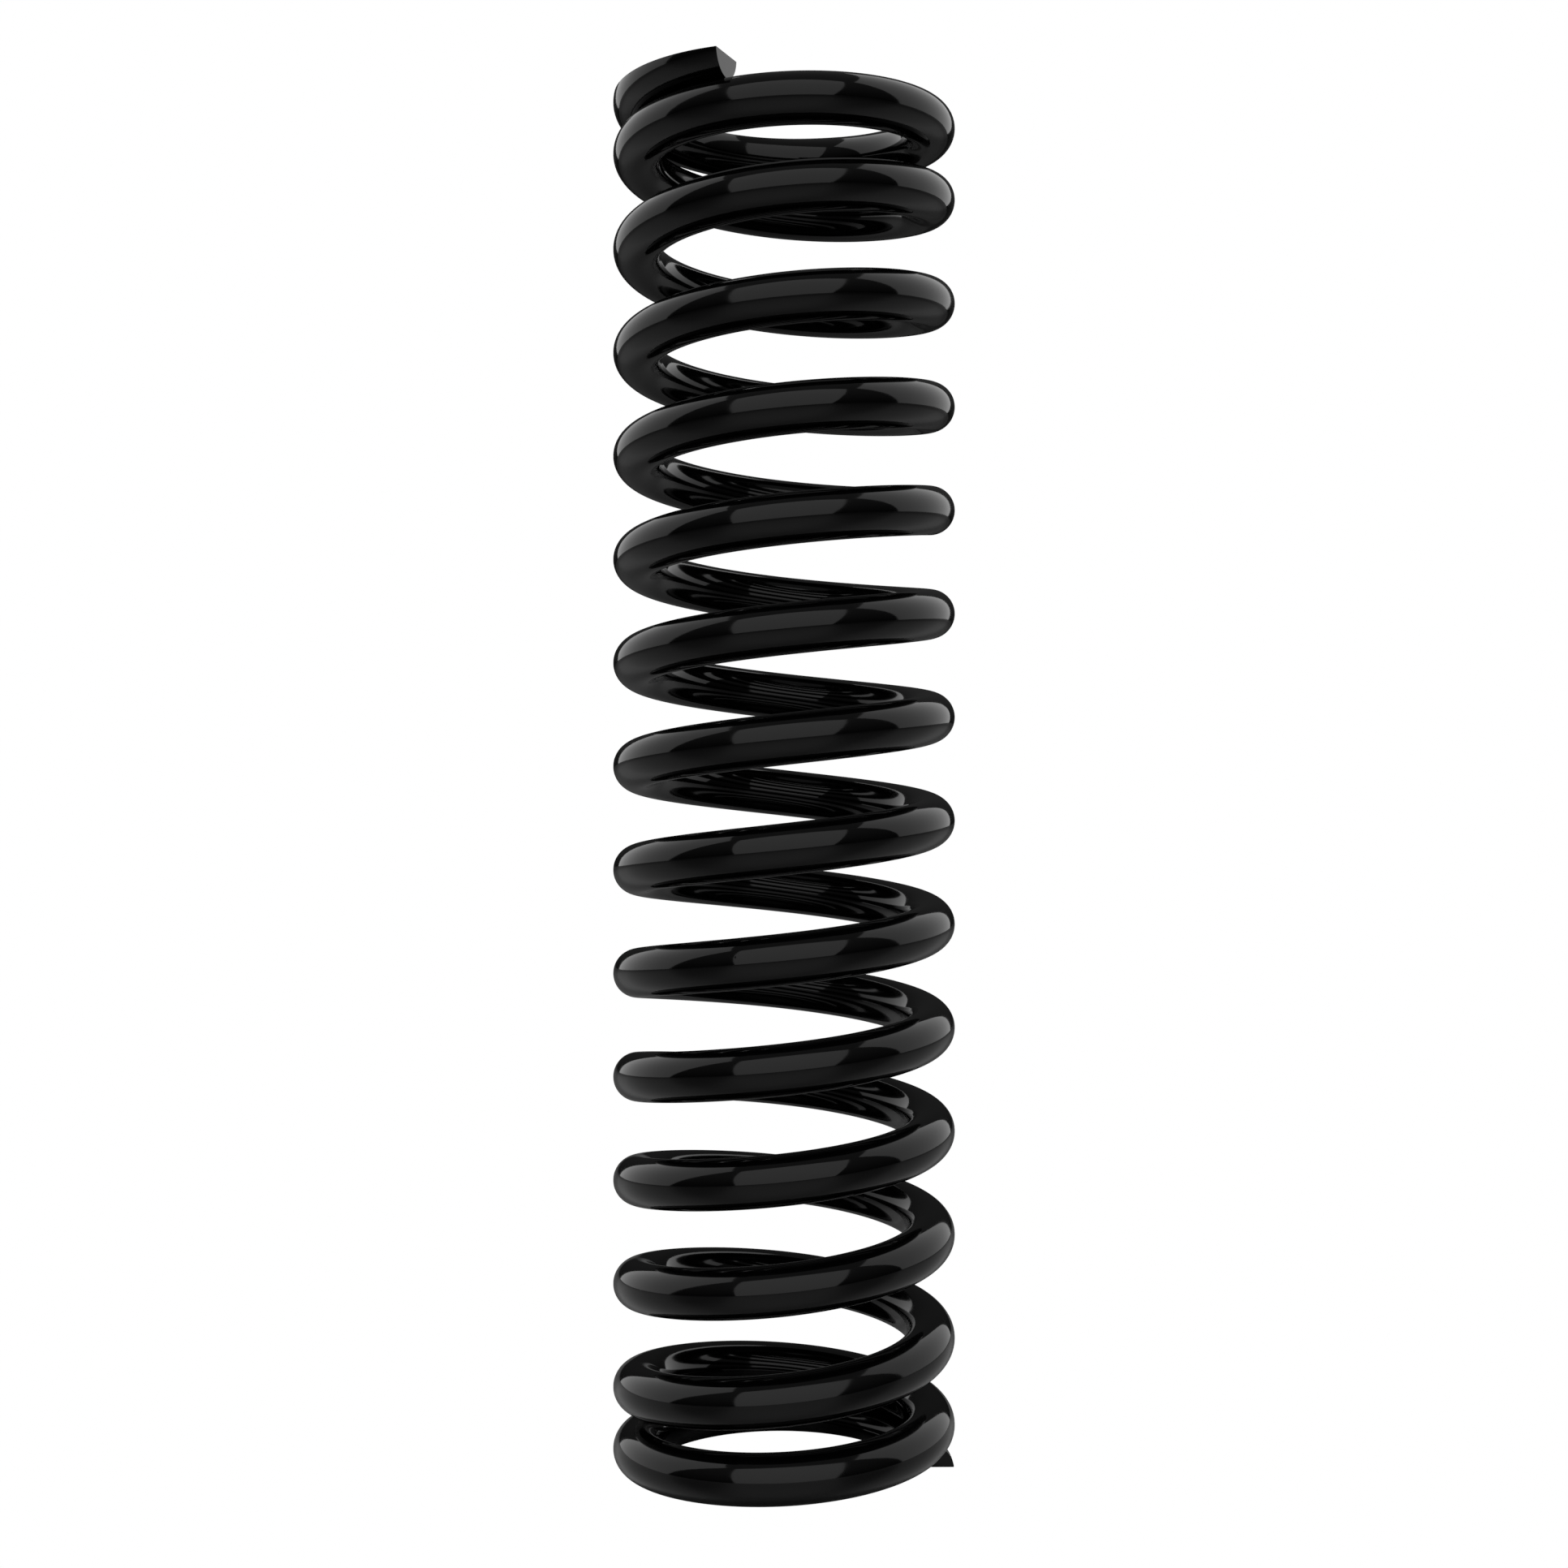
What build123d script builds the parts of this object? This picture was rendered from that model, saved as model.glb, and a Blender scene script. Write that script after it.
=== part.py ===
"""A compression coil spring for a coil-over damper: one round wire, ends closed and ground flat.

The wire runs right-handed up a cylinder of constant mean radius.  Its first and last turns are
closed, so that they lie on their neighbours, and both ends are ground to a flat seat.  Between
them the pitch is even.  The wire is written as half-turn lengths that meet face to face on the
vertical plane Y = 0, because a rigid-body model can then close the gap between the turns.

Millimetres.  +Z is up, and the origin is the middle of the bottom seat.  The wire starts at +X
and climbs anticlockwise as seen from above, so its back halves lie at +Y and its front halves at -Y.
"""

import os
from math import atan2, ceil, cos, pi, radians, sin

from build123d import *

# Driving dimensions
inside_diameter = 63.5  # slides over a 2.5 in spring perch
wire_diameter = 12.7
free_length = 357.2  # 14 1/16 in between the ground seats
total_turns = 14.6875  # tip to tip, end turns included
closed_turns = 1.0  # at each end
transition_turns = 0.6  # over which a closed end opens to the active pitch
closed_gap = 0.3  # between an end turn and the turn that lies on it
tip_thickness = 5.88  # what the grinding leaves of the wire at each tip

# How finely the wire is shaped and cut
sections_per_turn = 20
shortest_tip = 0.1  # turns; a shorter remainder stays on the length before it
seat_margin = 5.0  # by which the grinding block stands clear of the coil

# Worked out from the above
wire_radius = wire_diameter / 2
mean_radius = inside_diameter / 2 + wire_radius
outside_diameter = inside_diameter + 2 * wire_diameter
turn_length = 2 * pi * mean_radius
middle_turn = total_turns / 2


def section_height(pitch):
    """Height of the round wire where a vertical plane through the axis cuts it."""
    lead_angle = atan2(pitch, turn_length)
    return wire_diameter / cos(lead_angle)


closed_pitch = section_height(wire_diameter) + closed_gap
tip_centre = tip_thickness - section_height(closed_pitch) / 2


def opened_turns(turns_in):
    """Turns' worth of active pitch gathered over the first turns_in turns from an end."""
    ramp = min(max(turns_in - closed_turns, 0.0), transition_turns)
    beyond = max(turns_in - closed_turns - transition_turns, 0.0)
    return ramp**2 / (2 * transition_turns) + beyond


opening_rise = free_length / 2 - tip_centre - closed_pitch * middle_turn
active_pitch = closed_pitch + opening_rise / opened_turns(middle_turn)


def wire_height(turn):
    """Height of the wire's centre, turn being counted from the bottom tip."""
    if turn > middle_turn:
        return free_length - wire_height(total_turns - turn)
    return tip_centre + closed_pitch * turn + (active_pitch - closed_pitch) * opened_turns(turn)


def wire_pitch(turn):
    """Rise per turn at one place on the wire."""
    turns_in = min(turn, total_turns - turn)
    opened = min(max((turns_in - closed_turns) / transition_turns, 0.0), 1.0)
    return closed_pitch + (active_pitch - closed_pitch) * opened


def wire_section(turn):
    """The wire's outline on the vertical plane through the axis, at one place along it."""
    angle = radians(360 * turn)
    outward = Vector(cos(angle), sin(angle), 0)
    along = Vector(-sin(angle), cos(angle), 0)
    centre = outward * mean_radius + Vector(0, 0, wire_height(turn))
    plane = Plane(origin=centre, x_dir=outward, z_dir=along)
    return plane * Ellipse(wire_radius, section_height(wire_pitch(turn)) / 2)


def wire_length(start, end):
    """One length of the wire, from one turn count to another, before grinding."""
    steps = ceil((end - start) * sections_per_turn)
    turns = [start + (end - start) * step / steps for step in range(steps + 1)]
    return loft([wire_section(turn) for turn in turns])


def ground(piece):
    """Grind a length of wire off flush with the two seats."""
    width = outside_diameter + 2 * seat_margin
    between_seats = Box(width, width, free_length, align=(Align.CENTER, Align.CENTER, Align.MIN))
    return piece & between_seats


def half_turn_ends():
    """Turn counts where the wire is cut: every half turn, with no sliver left at the tip."""
    cuts = [half / 2 for half in range(int(total_turns * 2) + 1)]
    if total_turns - cuts[-1] < shortest_tip:
        cuts.pop()
    return cuts + [total_turns]


def length_name(start, end):
    """Name of the length of wire between two cuts."""
    turn = int(start)
    side = "back_half" if start == turn else "front_half"
    if turn == 0:
        return f"bottom_end_coil_{side}"
    if end == total_turns:
        return "top_end_coil_tip"
    if end > total_turns - closed_turns:
        return f"top_end_coil_{side}"
    return f"coil_{turn:02d}_{side}"


def build_spring():
    """All lengths of the wire by name, from the bottom tip to the top tip."""
    cuts = half_turn_ends()
    pieces = {}
    for start, end in zip(cuts, cuts[1:]):
        piece = wire_length(start, end)
        lowest = wire_height(start) - section_height(wire_pitch(start)) / 2
        highest = wire_height(end) + section_height(wire_pitch(end)) / 2
        if lowest < 0 or highest > free_length:
            piece = ground(piece)
        pieces[length_name(start, end)] = piece
    return pieces


def main():
    """Write one STEP file per length of wire."""
    os.makedirs("parts", exist_ok=True)
    for name, piece in build_spring().items():
        piece.label = name
        export_step(piece, f"parts/{name}.step")
    print(f"mean radius {mean_radius:.2f}, active pitch {active_pitch:.3f}, closed pitch {closed_pitch:.3f}")


main()
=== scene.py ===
"""A gloss black compression coil spring: one round wire with closed ends that are ground flat."""

import bpy
import numpy as np
from bpy.props import FloatProperty, FloatVectorProperty, IntProperty, PointerProperty
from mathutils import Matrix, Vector


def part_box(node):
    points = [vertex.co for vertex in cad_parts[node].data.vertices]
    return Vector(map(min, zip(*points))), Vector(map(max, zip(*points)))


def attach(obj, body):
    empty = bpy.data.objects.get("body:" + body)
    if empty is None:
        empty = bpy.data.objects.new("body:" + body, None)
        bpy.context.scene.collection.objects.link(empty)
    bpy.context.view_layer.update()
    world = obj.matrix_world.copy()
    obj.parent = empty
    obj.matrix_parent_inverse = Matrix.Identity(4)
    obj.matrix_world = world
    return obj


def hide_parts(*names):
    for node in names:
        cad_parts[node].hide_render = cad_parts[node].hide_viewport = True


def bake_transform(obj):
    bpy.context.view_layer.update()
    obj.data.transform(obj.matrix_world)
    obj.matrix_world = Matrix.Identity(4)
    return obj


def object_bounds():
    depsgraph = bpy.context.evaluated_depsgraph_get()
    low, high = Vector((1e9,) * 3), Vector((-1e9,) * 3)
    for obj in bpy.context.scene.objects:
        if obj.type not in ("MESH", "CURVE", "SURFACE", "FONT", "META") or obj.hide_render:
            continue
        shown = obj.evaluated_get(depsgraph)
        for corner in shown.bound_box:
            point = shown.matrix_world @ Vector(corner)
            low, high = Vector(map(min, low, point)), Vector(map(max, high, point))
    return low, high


bl_info = {
    "name": "Coil spring",
    "version": (1, 0, 0),
    "blender": (4, 5, 0),
    "location": "View3D > Sidebar > Spring",
    "description": "Draws a coated compression coil spring and its studio",
    "category": "Add Mesh",
}

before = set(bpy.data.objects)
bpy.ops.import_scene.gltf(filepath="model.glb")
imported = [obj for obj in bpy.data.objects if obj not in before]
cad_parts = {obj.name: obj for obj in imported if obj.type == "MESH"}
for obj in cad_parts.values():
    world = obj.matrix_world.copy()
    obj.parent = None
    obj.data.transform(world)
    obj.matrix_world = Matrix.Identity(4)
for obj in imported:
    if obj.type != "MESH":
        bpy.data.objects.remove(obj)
CAD_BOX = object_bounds()

FIXED_BODY = "bottom_end_coil"
MOVING_BODY = "top_end_coil"
NODE_TURNS = 0.5  # of the wire in each CAD node but the last


def frame_sizes():
    """Outside diameter, free length, active pitch and wire diameter, as the CAD frame has them.

    Two back halves a turn apart give the pitch.  A half turn stands half a pitch and one section
    high, and the section is the wire's diameter over the cosine of the lead angle.
    """
    low, high = CAD_BOX
    low_turn, next_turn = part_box("coil_06_back_half"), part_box("coil_07_back_half")
    pitch = next_turn[0].z - low_turn[0].z
    section = low_turn[1].z - low_turn[0].z - pitch / 2
    outside = high.x - low.x
    lead_angle = np.arctan2(pitch, np.pi * (outside - section))
    wire = section * float(np.cos(lead_angle))
    return {"outside": outside, "length": high.z - low.z, "pitch": pitch, "wire": wire}


SIZES = frame_sizes()


class SpringSizes(bpy.types.PropertyGroup):
    """Sizes of the wire and the coil."""

    outside_diameter: FloatProperty(
        name="Outside diameter",
        description="Across the outside of the coil",
        default=SIZES["outside"],
        unit="LENGTH",
    )
    free_length: FloatProperty(
        name="Free length",
        description="Between the two ground seats, unloaded",
        default=SIZES["length"],
        unit="LENGTH",
    )
    wire_diameter: FloatProperty(
        name="Wire diameter",
        description="Round wire, with its coating",
        default=SIZES["wire"],
        unit="LENGTH",
    )
    active_pitch: FloatProperty(
        name="Active pitch",
        description="Rise of one active turn",
        default=SIZES["pitch"],
        unit="LENGTH",
    )
    total_turns: FloatProperty(
        name="Total turns",
        description="From tip to tip, end turns included",
        default=14.6875,
    )
    closed_turns: FloatProperty(
        name="Closed turns",
        description="Turns at each end that lie on their neighbour",
        default=1.0,
    )
    transition_turns: FloatProperty(
        name="Transition turns",
        description="Turns over which a closed end opens to the active pitch",
        default=0.6,
    )
    tip_thickness: FloatProperty(
        name="Tip thickness",
        description="What the grinding leaves of the wire at each tip",
        default=0.00588,
        unit="LENGTH",
    )
    edge_break: FloatProperty(
        name="Edge break",
        description="Width by which the coating rounds the ground edges",
        default=0.0001,
        unit="LENGTH",
    )
    rings_per_turn: IntProperty(
        name="Rings per turn",
        description="Sections of the wire drawn in one turn",
        default=144,
        min=24,
    )


SEAT_POINTS = 20  # of a section's outline, those that lie on the ground seat where there is one
ARC_POINTS = 52
OUTLINE_POINTS = SEAT_POINTS + ARC_POINTS
POINT_STEP = 2 * np.pi / OUTLINE_POINTS
FREE_SEAT_ANGLE = SEAT_POINTS * POINT_STEP / 2  # half the arc that those points take elsewhere
LEAST_SEAT_ANGLE = np.radians(5)
SEAT_EASE = 0.35  # of the wire's half height, over which the points gather before the seat starts
TIP_INSET = 0.6  # of the edge break


def opened_turns(sizes, turns_in):
    """Turns' worth of opening gathered over the first turns_in turns from an end.

    The pitch rises in a straight line over the transition, so this is half a square there.
    """
    ramp = np.clip(turns_in - sizes.closed_turns, 0, sizes.transition_turns)
    beyond = np.maximum(turns_in - sizes.closed_turns - sizes.transition_turns, 0)
    return ramp**2 / (2 * sizes.transition_turns) + beyond


def mean_radius(sizes):
    """From the coil's axis to the middle of the wire."""
    return (sizes.outside_diameter - sizes.wire_diameter) / 2


def section_height(sizes, pitch):
    """Height of the wire where a vertical plane through the axis cuts it."""
    slope = pitch / (2 * np.pi * mean_radius(sizes))
    return sizes.wire_diameter * np.sqrt(1 + slope**2)


def closed_pitch(sizes):
    """Pitch of the end turns, from the free length and what the active turns take of it.

    Half the free length is the tip's centre height, half the closed rise and half the opening, and
    the tip's centre is the tip's thickness less half a section.
    """
    middle = sizes.total_turns / 2
    opening = opened_turns(sizes, middle)
    tip_centre = sizes.tip_thickness - section_height(sizes, sizes.wire_diameter) / 2
    half_rise = sizes.free_length / 2 - tip_centre - sizes.active_pitch * opening
    return float(half_rise / (middle - opening))


def height_and_pitch(sizes, turns_in):
    """Distance of the wire's centre from an end's seat, that many turns in, and its pitch there."""
    closed = closed_pitch(sizes)
    tip_centre = sizes.tip_thickness - section_height(sizes, closed) / 2
    extra = sizes.active_pitch - closed
    opened = np.clip((turns_in - sizes.closed_turns) / sizes.transition_turns, 0, 1)
    return tip_centre + closed * turns_in + extra * opened_turns(sizes, turns_in), closed + extra * opened


def closing_share(sizes, turn):
    """Share of the top end's travel that the wire makes at one place, as every gap closes alike."""
    middle = sizes.total_turns / 2
    turns_in = np.minimum(turn, sizes.total_turns - turn)
    share = opened_turns(sizes, turns_in) / (2 * opened_turns(sizes, middle))
    return np.where(turn > middle, 1 - share, share)


def seat_angles(sizes, height, half_height):
    """Half the angle that the seat points span, and the angle left free beside the corner.

    On ground sections the span is where the seat cuts the ellipse.  On the others it eases from
    least to the even share, so that the points gather before the seat starts.
    """
    ground = height < half_height
    cut_angle = np.arccos(np.clip(height / half_height, -1, 1))
    near = np.clip((height - half_height) / (SEAT_EASE * half_height), 0, 1)
    free_angle = LEAST_SEAT_ANGLE + (FREE_SEAT_ANGLE - LEAST_SEAT_ANGLE) * near**2 * (3 - 2 * near)
    seat_angle = np.where(ground, np.maximum(cut_angle, LEAST_SEAT_ANGLE), free_angle)
    broken = np.minimum(sizes.edge_break / (sizes.wire_diameter / 2), seat_angle / 3)
    return seat_angle, np.where(ground, broken, POINT_STEP / 2)


def section_outline(sizes, height, half_height):
    """Outline of the wire on a vertical plane, in rows of one section each, with its normals.

    The section is an ellipse of the wire's radius by half_height, its centre at height above the
    seat.  Where the seat cuts it, the seat points lie on the chord and the rest on the arc above,
    and both stop short of the corner by the edge break.  Elsewhere all points are evenly round the
    ellipse.  Returns outward and upward places, and the same for the normals.
    """
    radius = sizes.wire_diameter / 2
    height, half_height = height[:, None], np.broadcast_to(half_height, height.shape)[:, None]
    seat_angle, corner = seat_angles(sizes, height, half_height)

    arc_share = np.linspace(0, 1, ARC_POINTS)
    arc_start = seat_angle + corner
    arc_angle = -np.pi / 2 + arc_start + (2 * np.pi - 2 * arc_start) * arc_share
    seat_share = np.linspace(-1, 1, SEAT_POINTS)
    seat_arc_angle = -np.pi / 2 + (seat_angle - corner) * seat_share

    angle = np.hstack([arc_angle, seat_arc_angle])
    outward, upward = radius * np.cos(angle), half_height * np.sin(angle)
    normal_out, normal_up = half_height * np.cos(angle), radius * np.sin(angle)

    on_seat = (height < half_height) & (np.arange(OUTLINE_POINTS) >= ARC_POINTS)
    chord = (radius * np.sin(seat_angle) - radius * corner) * seat_share
    outward = np.where(on_seat, np.hstack([outward[:, :ARC_POINTS], chord]), outward)
    upward = np.where(on_seat, -height, np.maximum(upward, -height))
    normal_out = np.where(on_seat, 0, normal_out)
    normal_up = np.where(on_seat, -1, normal_up)
    length = np.hypot(normal_out, normal_up)
    return outward, upward, normal_out / length, normal_up / length, on_seat


def turn_over(outward, upward, normal_out, normal_up, on_seat):
    """The same outline for the upper end: heights change sign, and the order keeps faces outward."""
    outward, normal_out, on_seat = outward[:, ::-1], normal_out[:, ::-1], on_seat[:, ::-1]
    return outward, -upward[:, ::-1], normal_out, -normal_up[:, ::-1], on_seat


def ring_turns(sizes, start, end):
    """Turn counts of a length's rings, with one ring more beside each tip for its rounded edge."""
    rings = int(np.ceil((end - start) * sizes.rings_per_turn)) + 1
    turns = np.linspace(start, end, rings)
    edge = sizes.edge_break / (2 * np.pi * mean_radius(sizes))
    if start == 0:
        turns = np.insert(turns, 1, start + edge)
    if end == sizes.total_turns:
        turns = np.insert(turns, -1, end - edge)
    return turns


def tip_insets(sizes, start, end, rings):
    """How far each ring is drawn in: nothing, but for the first and last ring of the wire itself."""
    inset = np.zeros((rings, 1))
    inset[0, 0] = (start == 0) * TIP_INSET * sizes.edge_break
    inset[-1, 0] = (end == sizes.total_turns) * TIP_INSET * sizes.edge_break
    return inset


def along_wire(turn):
    """Level direction in which the wire runs at one turn count."""
    return np.array([-np.sin(2 * np.pi * turn), np.cos(2 * np.pi * turn), 0])


def wire_surface(sizes, start, end):
    """Points and normals of one length of wire, rings by outline points, and each ring's turn.

    A point is the coil's centre line at that turn plus the section's outward and upward place.
    The line is a circle of the mean radius that climbs with the pitch.  The normal is the
    section's own, less its part along the climbing wire.
    """
    turns = ring_turns(sizes, start, end)
    upper_end = start + end > sizes.total_turns
    height, pitch = height_and_pitch(sizes, sizes.total_turns - turns if upper_end else turns)
    outline = section_outline(sizes, height, section_height(sizes, pitch) / 2)
    outward, upward, normal_out, normal_up, on_seat = turn_over(*outline) if upper_end else outline
    centre = sizes.free_length - height if upper_end else height

    angle = 2 * np.pi * turns[:, None]
    cos, sin = np.cos(angle), np.sin(angle)
    inset = tip_insets(sizes, start, end, len(turns))
    across = mean_radius(sizes) + outward - inset * normal_out
    points = np.stack([across * cos, across * sin, centre[:, None] + upward - inset * normal_up], axis=2)

    # The round surface climbs by the pitch, so an upward normal leans back along the wire.
    lean = np.where(on_seat, 0, -normal_up * pitch[:, None] / (2 * np.pi * across))
    normals = np.stack([normal_out * cos - lean * sin, normal_out * sin + lean * cos, normal_up], axis=2)
    if start == 0:
        normals[0] = -along_wire(start)
    if end == sizes.total_turns:
        normals[-1] = along_wire(end)
    normals /= np.linalg.norm(normals, axis=2, keepdims=True)
    return points, normals, turns


def add_wire_length(sizes, node, start, end, material):
    """A closed mesh of one length of wire, with the surface's own normals, in place of its CAD node."""
    points, normals, turns = wire_surface(sizes, start, end)
    index = np.arange(points[..., 0].size).reshape(points.shape[:2])
    beside = np.roll(index, -1, axis=1)
    quads = np.stack([index[:-1], index[1:], beside[1:], beside[:-1]], axis=2).reshape(-1, 4)
    caps = [index[0], index[-1, ::-1]]

    mesh = bpy.data.meshes.new(f"{node}_wire")
    mesh.from_pydata(points.reshape(-1, 3), [], quads.tolist() + [cap.tolist() for cap in caps])
    mesh.polygons.foreach_set("use_smooth", np.ones(len(mesh.polygons), bool))
    directions = (-along_wire(start), along_wire(end))
    cap_normals = [np.tile(direction, (OUTLINE_POINTS, 1)) for direction in directions]
    corner_normals = np.vstack([normals.reshape(-1, 3)[quads.ravel()], *cap_normals])
    mesh.normals_split_custom_set(corner_normals)
    mesh.materials.append(material)

    piece = bpy.data.objects.new(f"{node}_wire", mesh)
    bpy.context.scene.collection.objects.link(piece)
    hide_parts(node)
    hang_on_bodies(sizes, piece, turns)


def hang_on_bodies(sizes, piece, turns):
    """The piece follows the bottom end where none of its wire takes any of the top end's travel, or the top
    end where all of it takes all of that travel.

    Any other piece has its transform baked into its mesh and is not hung on either end.
    """
    share = closing_share(sizes, turns)
    if share.max() == 0:
        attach(piece, FIXED_BODY)
    elif share.min() == 1:
        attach(piece, MOVING_BODY)
    else:
        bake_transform(piece)


def wire_lengths(sizes):
    """Each CAD node with the turns where its length of wire starts and ends, tip to tip.

    The nodes are half turns in order of height, and the last one is the short tip.
    """
    ends = np.append(np.arange(0, sizes.total_turns, NODE_TURNS), sizes.total_turns)
    nodes = sorted(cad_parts, key=lambda node: sum(corner.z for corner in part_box(node)))
    return list(zip(nodes, ends[:-1].tolist(), ends[1:].tolist()))


class CoatingLook(bpy.types.PropertyGroup):
    """Colour and finish of the powder coat."""

    colour: FloatVectorProperty(
        name="Colour",
        description="Colour of the coat",
        default=(0.0006, 0.0006, 0.00064),
        subtype="COLOR",
        min=0,
        max=1,
    )
    index: FloatProperty(
        name="Index",
        description="Index of refraction, which sets how strongly the coat reflects",
        default=1.3,
    )
    roughness: FloatProperty(
        name="Roughness",
        description="Mean roughness of the cured coat",
        default=0.08,
        subtype="FACTOR",
    )
    roughness_spread: FloatProperty(
        name="Roughness spread",
        description="How far handling marks take the roughness from its mean",
        default=0.03,
        subtype="FACTOR",
    )
    peel_size: FloatProperty(
        name="Orange peel size",
        description="Width of one ripple of the coat",
        default=0.0026,
        unit="LENGTH",
    )
    peel_height: FloatProperty(
        name="Orange peel height",
        description="Height of the ripples",
        default=0.000006,
        unit="LENGTH",
    )
    nib_spacing: FloatProperty(
        name="Nib spacing",
        description="About how far apart the specks of dust under the coat are",
        default=0.009,
        unit="LENGTH",
    )
    nib_width: FloatProperty(
        name="Nib width",
        description="Width of the largest of them",
        default=0.0005,
        unit="LENGTH",
    )
    nib_height: FloatProperty(
        name="Nib height",
        description="How far they raise the coat",
        default=0.000008,
        unit="LENGTH",
    )


class StudioLook(bpy.types.PropertyGroup):
    """Camera, floor, surroundings and light panels."""

    lens: FloatProperty(
        name="Lens",
        description="Focal length on a 36 mm sensor, in millimetres",
        default=50,
    )
    camera_distance: FloatProperty(
        name="Camera distance",
        description="From the coil's axis to the camera",
        default=0.5684,
        unit="LENGTH",
    )
    camera_height: FloatProperty(
        name="Camera height",
        description="Above the bottom seat",
        default=0.1785,
        unit="LENGTH",
    )
    camera_turn: FloatProperty(
        name="Camera turn",
        description="Angle of the camera round the coil, from its front",
        default=np.radians(-0.8),
        subtype="ANGLE",
    )
    panel_distance: FloatProperty(
        name="Panel distance",
        description="From the coil's axis to the foot of each light panel",
        default=8,
        unit="LENGTH",
    )
    panel_width: FloatProperty(
        name="Panel width",
        description="Width of each light panel",
        default=10.2,
        unit="LENGTH",
    )
    panel_length: FloatProperty(
        name="Panel length",
        description="From the foot of each light panel to its top edge",
        default=10.3,
        unit="LENGTH",
    )
    panel_lean: FloatProperty(
        name="Panel lean",
        description="How far each light panel leans in over the coil",
        default=np.radians(22.5),
        subtype="ANGLE",
    )
    panel_spread: FloatProperty(
        name="Panel spread",
        description="Angle from the front panel round to each side panel",
        default=np.radians(114.2),
        subtype="ANGLE",
    )
    panel_glow: FloatProperty(
        name="Panel glow",
        description="Radiance of the light panels",
        default=1.28,
    )
    room_low: FloatProperty(
        name="Room at the horizon",
        description="Radiance of the dim room beyond the panels, at the horizon in front",
        default=0.05,
    )
    room_high: FloatProperty(
        name="Room overhead",
        description="Radiance of the dim room overhead, towards the front",
        default=0.34,
    )
    room_behind: FloatProperty(
        name="Room behind",
        description="Share of the room's radiance that is left behind the coil",
        default=0.28,
        subtype="FACTOR",
    )
    floor_radius: FloatProperty(
        name="Floor radius",
        description="Radius of the pale floor",
        default=30,
        unit="LENGTH",
    )
    floor_shade: FloatProperty(
        name="Floor shade",
        description="Share of the light that the floor scatters evenly at the coil",
        default=0.11,
        subtype="FACTOR",
    )
    floor_sheen: FloatProperty(
        name="Floor sheen",
        description="Brightness of the blurred reflections in the floor that the coil sees",
        default=0.4,
        subtype="FACTOR",
    )
    floor_blur: FloatProperty(
        name="Floor blur",
        description="Roughness of those reflections",
        default=0.42,
        subtype="FACTOR",
    )
    # The near, far, dimmest and behind settings shape painted shade in the floor's colour as the coil sees
    # it.
    floor_near: FloatProperty(
        name="Near floor",
        description="Radius within which the coil sees the floor at its brightest",
        default=0.3,
        unit="LENGTH",
    )
    floor_far: FloatProperty(
        name="Far floor",
        description="Radius beyond which the coil sees it at its dimmest",
        default=2.5,
        unit="LENGTH",
    )
    floor_dimmest: FloatProperty(
        name="Dimmest floor",
        description="Share of the brightness that is left there",
        default=0.44,
        subtype="FACTOR",
    )
    floor_behind: FloatProperty(
        name="Floor behind",
        description="Share of the brightness that is left behind the coil",
        default=0.62,
        subtype="FACTOR",
    )


MATERIAL_NAME = "gloss_black_powder_coat"
MARKS_PER_METRE = 60
MARKS_DETAIL = 4  # octaves of noise in the handling marks
NOISE_SWING = (0.3, 0.7)  # range that a noise texture's values mostly stay in
FLOOR_SIDES = 96
BEHIND_THE_COIL = (0.64, 0.87)  # +Y part of the direction to a place, where the floor's painted shade behind the coil starts and ends


def mapped(tree, value, taken, given):
    """The value, carried from one range to another and held at its ends."""
    node = tree.nodes.new("ShaderNodeMapRange")
    node.inputs["From Min"].default_value, node.inputs["From Max"].default_value = taken
    node.inputs["To Min"].default_value, node.inputs["To Max"].default_value = given
    tree.links.new(value, node.inputs["Value"])
    return node.outputs["Result"]


def product(tree, first, second):
    """The product of an output and either another output or a number."""
    node = tree.nodes.new("ShaderNodeMath")
    node.operation = "MULTIPLY"
    tree.links.new(first, node.inputs[0])
    if isinstance(second, float):
        node.inputs[1].default_value = second
    else:
        tree.links.new(second, node.inputs[1])
    return node.outputs["Value"]


def bumped(tree, value, height):
    """A bump node that raises the surface by height where the value is one."""
    bump = tree.nodes.new("ShaderNodeBump")
    bump.inputs["Distance"].default_value = height
    tree.links.new(value, bump.inputs["Height"])
    return bump


def mix_for_camera(tree, output, unseen, seen):
    """Show one shader to the camera and the other to all other rays."""
    path = tree.nodes.new("ShaderNodeLightPath")
    mix = tree.nodes.new("ShaderNodeMixShader")
    tree.links.new(path.outputs["Is Camera Ray"], mix.inputs[0])
    tree.links.new(unseen.outputs[0], mix.inputs[1])
    tree.links.new(seen.outputs[0], mix.inputs[2])
    tree.links.new(mix.outputs[0], output.inputs["Surface"])


def build_coating(look):
    """The wire's finish: a deep, even gloss with fine orange peel, faint handling marks and nibs."""
    material = bpy.data.materials.new(MATERIAL_NAME)
    material.use_nodes = True
    tree = material.node_tree
    shader = tree.nodes["Principled BSDF"]
    shader.inputs["Base Color"].default_value = (*look.colour, 1)
    shader.inputs["IOR"].default_value = look.index
    place = tree.nodes.new("ShaderNodeTexCoord").outputs["Object"]
    tree.links.new(handling_marks(tree, place, look), shader.inputs["Roughness"])
    ripples = orange_peel(tree, place, look)
    tree.links.new(dust_nibs(tree, place, ripples, look), shader.inputs["Normal"])
    return material


def handling_marks(tree, place, look):
    """Roughness that wanders a little about its mean, in patches a centimetre or two wide."""
    marks = tree.nodes.new("ShaderNodeTexNoise")
    marks.inputs["Scale"].default_value = MARKS_PER_METRE
    marks.inputs["Detail"].default_value = MARKS_DETAIL
    tree.links.new(place, marks.inputs["Vector"])
    least, most = look.roughness - look.roughness_spread, look.roughness + look.roughness_spread
    return mapped(tree, marks.outputs["Fac"], NOISE_SWING, (least, most))


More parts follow.
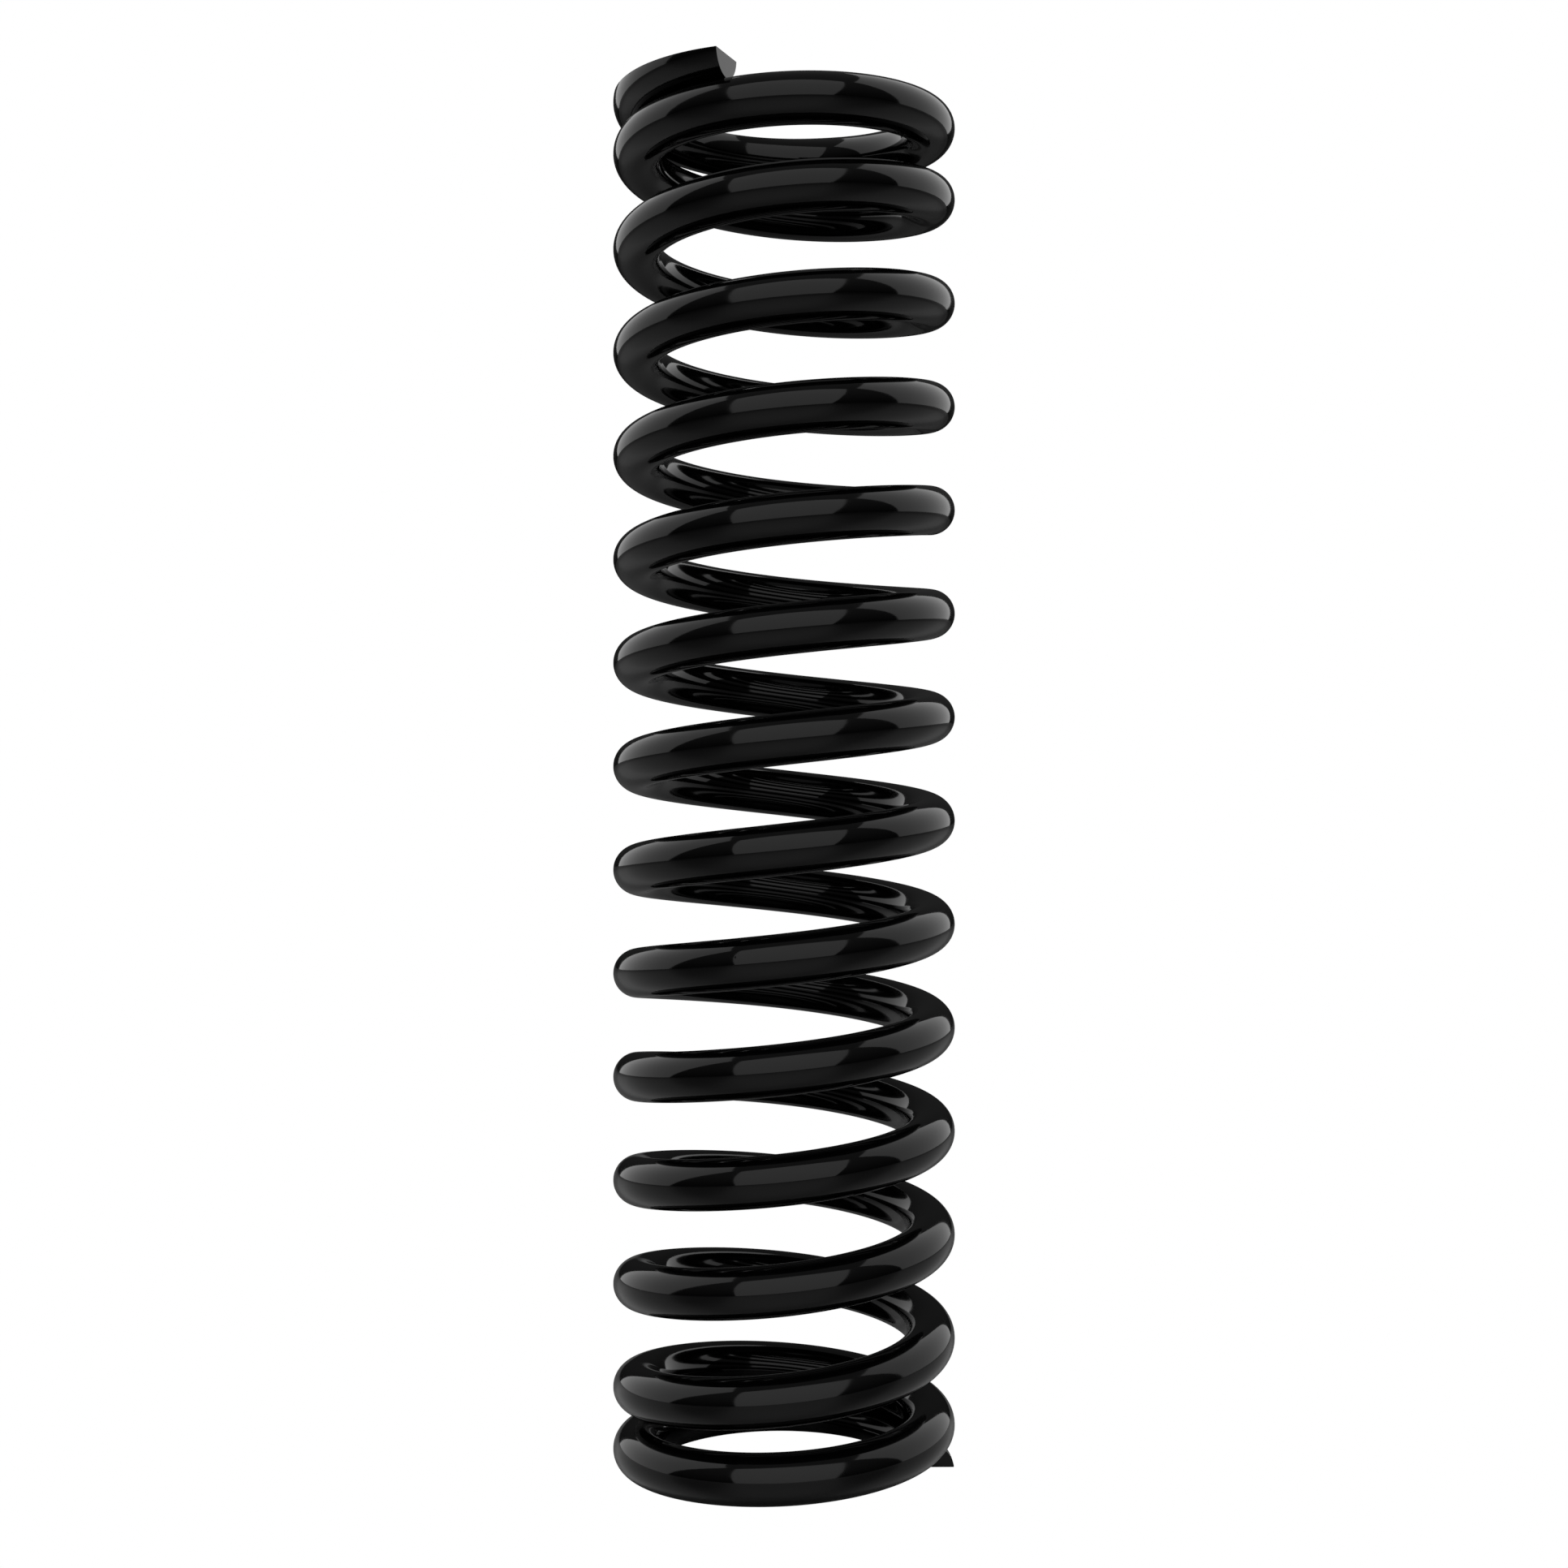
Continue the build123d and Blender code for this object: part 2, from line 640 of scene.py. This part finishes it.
def orange_peel(tree, place, look):
    """The normal of a coat that has cured with a fine, shallow ripple."""
    peel = tree.nodes.new("ShaderNodeTexNoise")
    peel.inputs["Scale"].default_value = 1 / look.peel_size
    peel.inputs["Detail"].default_value = 1
    tree.links.new(place, peel.inputs["Vector"])
    return bumped(tree, peel.outputs["Fac"], look.peel_height).outputs["Normal"]


def dust_nibs(tree, place, ripples, look):
    """The rippled normal with a few small round specks raised on it."""
    specks = tree.nodes.new("ShaderNodeTexVoronoi")
    specks.inputs["Scale"].default_value = 1 / look.nib_spacing
    tree.links.new(place, specks.inputs["Vector"])
    rise = tree.nodes.new("ShaderNodeMapRange")
    rise.interpolation_type = "SMOOTHSTEP"
    rise.inputs["From Max"].default_value = look.nib_width / look.nib_spacing
    rise.inputs["To Min"].default_value = 1
    rise.inputs["To Max"].default_value = 0
    tree.links.new(specks.outputs["Distance"], rise.inputs["Value"])
    bump = bumped(tree, rise.outputs["Result"], look.nib_height)
    tree.links.new(ripples, bump.inputs["Normal"])
    return bump.outputs["Normal"]


def coating():
    """The coat's material, made once."""
    found = bpy.data.materials.get(MATERIAL_NAME)
    return found or build_coating(bpy.context.scene.spring_coating)


def draw_lengths(wanted):
    """Draw the lengths of wire whose node names start with one of the wanted words."""
    sizes = bpy.context.scene.spring_sizes
    lengths = [length for length in wire_lengths(sizes) if length[0].startswith(wanted)]
    if not lengths:
        raise RuntimeError(f"no node's name starts with {wanted}")
    for node, start, end in lengths:
        add_wire_length(sizes, node, start, end, coating())


class SPRING_OT_bottom_end(bpy.types.Operator):
    """Draw the closed bottom turn, ground flat from its tip"""

    bl_idname = "spring.bottom_end"
    bl_label = "Bottom end coil"

    def execute(self, context):
        draw_lengths("bottom_end_coil")
        return {"FINISHED"}


class SPRING_OT_active_turns(bpy.types.Operator):
    """Draw the active turns, a half turn at a time"""

    bl_idname = "spring.active_turns"
    bl_label = "Active turns"

    def execute(self, context):
        draw_lengths("coil_")
        return {"FINISHED"}


class SPRING_OT_top_end(bpy.types.Operator):
    """Draw the closed top turn, ground flat up to its tip"""

    bl_idname = "spring.top_end"
    bl_label = "Top end coil"

    def execute(self, context):
        draw_lengths("top_end_coil")
        return {"FINISHED"}


class SPRING_OT_stage(bpy.types.Operator):
    """Set up the pale floor, the light panels and the camera"""

    bl_idname = "spring.stage"
    bl_label = "Studio"

    def execute(self, context):
        look = context.scene.spring_studio
        build_room(look)
        add_floor(look)
        for name, turn in (("front", 0), ("left", -1), ("right", 1)):
            add_light_panel(look, f"{name}_panel", look.camera_turn + turn * look.panel_spread)
        add_camera(look)
        context.scene.view_settings.view_transform = "Standard"
        return {"FINISHED"}


def build_room(look):
    """Plain white where the camera looks.  For all other rays a dim room, lighter overhead and in front."""
    world = bpy.data.worlds.new("studio")
    world.use_nodes = True
    nodes, links = world.node_tree.nodes, world.node_tree.links
    dim = nodes["Background"]
    white = nodes.new("ShaderNodeBackground")
    white.inputs["Color"].default_value = (1, 1, 1, 1)
    direction = nodes.new("ShaderNodeTexCoord")
    parts = nodes.new("ShaderNodeSeparateXYZ")
    links.new(direction.outputs["Generated"], parts.inputs["Vector"])
    glow = mapped(world.node_tree, parts.outputs["Z"], (0, 1), (look.room_low, look.room_high))
    share = mapped(world.node_tree, parts.outputs["Y"], (-1, 1), (1, look.room_behind))
    links.new(glow, dim.inputs["Color"])
    links.new(share, dim.inputs["Strength"])
    mix_for_camera(world.node_tree, nodes["World Output"], dim, white)
    bpy.context.scene.world = world


def painted_floor_shade(tree, look):
    """Painted shade in the floor's colour as the coil sees it: darker far away, and darker behind the coil.
    """
    place = tree.nodes.new("ShaderNodeTexCoord").outputs["Object"]
    radius = tree.nodes.new("ShaderNodeVectorMath")
    radius.operation = "LENGTH"
    tree.links.new(place, radius.inputs[0])
    far = mapped(tree, radius.outputs["Value"], (look.floor_near, look.floor_far), (1, look.floor_dimmest))

    direction = tree.nodes.new("ShaderNodeVectorMath")
    direction.operation = "NORMALIZE"
    tree.links.new(place, direction.inputs[0])
    parts = tree.nodes.new("ShaderNodeSeparateXYZ")
    tree.links.new(direction.outputs["Vector"], parts.inputs["Vector"])
    behind = mapped(tree, parts.outputs["Y"], BEHIND_THE_COIL, (1, look.floor_behind))
    return product(tree, far, behind)


def build_floor_material(look):
    """Plain white to the camera.  To the coil it is a grey sheen that blurs the panels, its colour darkened
    by painted shade far away and behind the coil.
    """
    material = bpy.data.materials.new("pale_floor")
    material.use_nodes = True
    tree = material.node_tree
    tree.nodes.remove(tree.nodes["Principled BSDF"])
    white = tree.nodes.new("ShaderNodeEmission")
    # Painted shade: the colour the coil sees in the floor darkens far away and behind the coil.
    painted_shade = painted_floor_shade(tree, look)
    both = tree.nodes.new("ShaderNodeAddShader")
    shades = {"ShaderNodeBsdfDiffuse": look.floor_shade, "ShaderNodeBsdfAnisotropic": look.floor_sheen}
    for slot, (kind, shade) in enumerate(shades.items()):
        shader = tree.nodes.new(kind)
        tree.links.new(product(tree, painted_shade, shade), shader.inputs["Color"])
        tree.links.new(shader.outputs[0], both.inputs[slot])
    shader.inputs["Roughness"].default_value = look.floor_blur
    mix_for_camera(tree, tree.nodes["Material Output"], both, white)
    return material


def add_floor(look):
    """A plain round floor at the height of the bottom seat."""
    angles = np.linspace(0, 2 * np.pi, FLOOR_SIDES, endpoint=False)
    rim = np.stack([np.cos(angles), np.sin(angles), 0 * angles], axis=1) * look.floor_radius
    mesh = bpy.data.meshes.new("floor")
    mesh.from_pydata(rim, [], [list(range(len(rim)))])
    mesh.materials.append(build_floor_material(look))
    floor = bpy.data.objects.new("floor", mesh)
    bpy.context.scene.collection.objects.link(floor)


def add_light_panel(look, name, turn):
    """A large even light that stands on the floor and leans in over the coil."""
    data = bpy.data.lights.new(name, "AREA")
    data.shape = "RECTANGLE"
    data.size, data.size_y = look.panel_width, look.panel_length
    data.energy = look.panel_glow * np.pi * look.panel_width * look.panel_length
    panel = bpy.data.objects.new(name, data)
    half = look.panel_length / 2
    away = look.panel_distance - half * np.sin(look.panel_lean)
    panel.location = (away * np.sin(turn), -away * np.cos(turn), half * np.cos(look.panel_lean))
    panel.rotation_euler = (np.pi / 2 - look.panel_lean, 0, turn)
    panel.visible_camera = False
    bpy.context.scene.collection.objects.link(panel)


def add_camera(look):
    """A level camera in front of the coil."""
    data = bpy.data.cameras.new("camera")
    data.lens = look.lens
    camera = bpy.data.objects.new("camera", data)
    turn = look.camera_turn
    place = look.camera_distance * Vector((np.sin(turn), -np.cos(turn), 0))
    camera.location = (*place.xy, look.camera_height)
    camera.rotation_euler = (np.pi / 2, 0, turn)
    bpy.context.scene.collection.objects.link(camera)
    bpy.context.scene.camera = camera


class SPRING_PT_panel(bpy.types.Panel):
    """Spring tools in the 3D view's sidebar"""

    bl_label = "Coil spring"
    bl_space_type = "VIEW_3D"
    bl_region_type = "UI"
    bl_category = "Spring"

    def draw(self, context):
        for settings in ("spring_sizes", "spring_coating", "spring_studio"):
            group = getattr(context.scene, settings)
            box = self.layout.box()
            for name in group.__annotations__:
                box.prop(group, name)
        for operator in OPERATORS:
            self.layout.operator(operator.bl_idname)


OPERATORS = (SPRING_OT_bottom_end, SPRING_OT_active_turns, SPRING_OT_top_end, SPRING_OT_stage)
SETTINGS = {"spring_sizes": SpringSizes, "spring_coating": CoatingLook, "spring_studio": StudioLook}


def register():
    """Register the classes and hang the settings on the scene."""
    for cls in (*SETTINGS.values(), *OPERATORS, SPRING_PT_panel):
        bpy.utils.register_class(cls)
    for name, cls in SETTINGS.items():
        setattr(bpy.types.Scene, name, PointerProperty(type=cls))


def unregister():
    """Take the settings and the classes away again."""
    for name in SETTINGS:
        delattr(bpy.types.Scene, name)
    for cls in reversed((*SETTINGS.values(), *OPERATORS, SPRING_PT_panel)):
        bpy.utils.unregister_class(cls)


def main():
    """Draw the spring and its studio."""
    register()
    bpy.ops.spring.bottom_end()
    bpy.ops.spring.active_turns()
    bpy.ops.spring.top_end()
    bpy.ops.spring.stage()


if __name__ == "__main__":
    main()
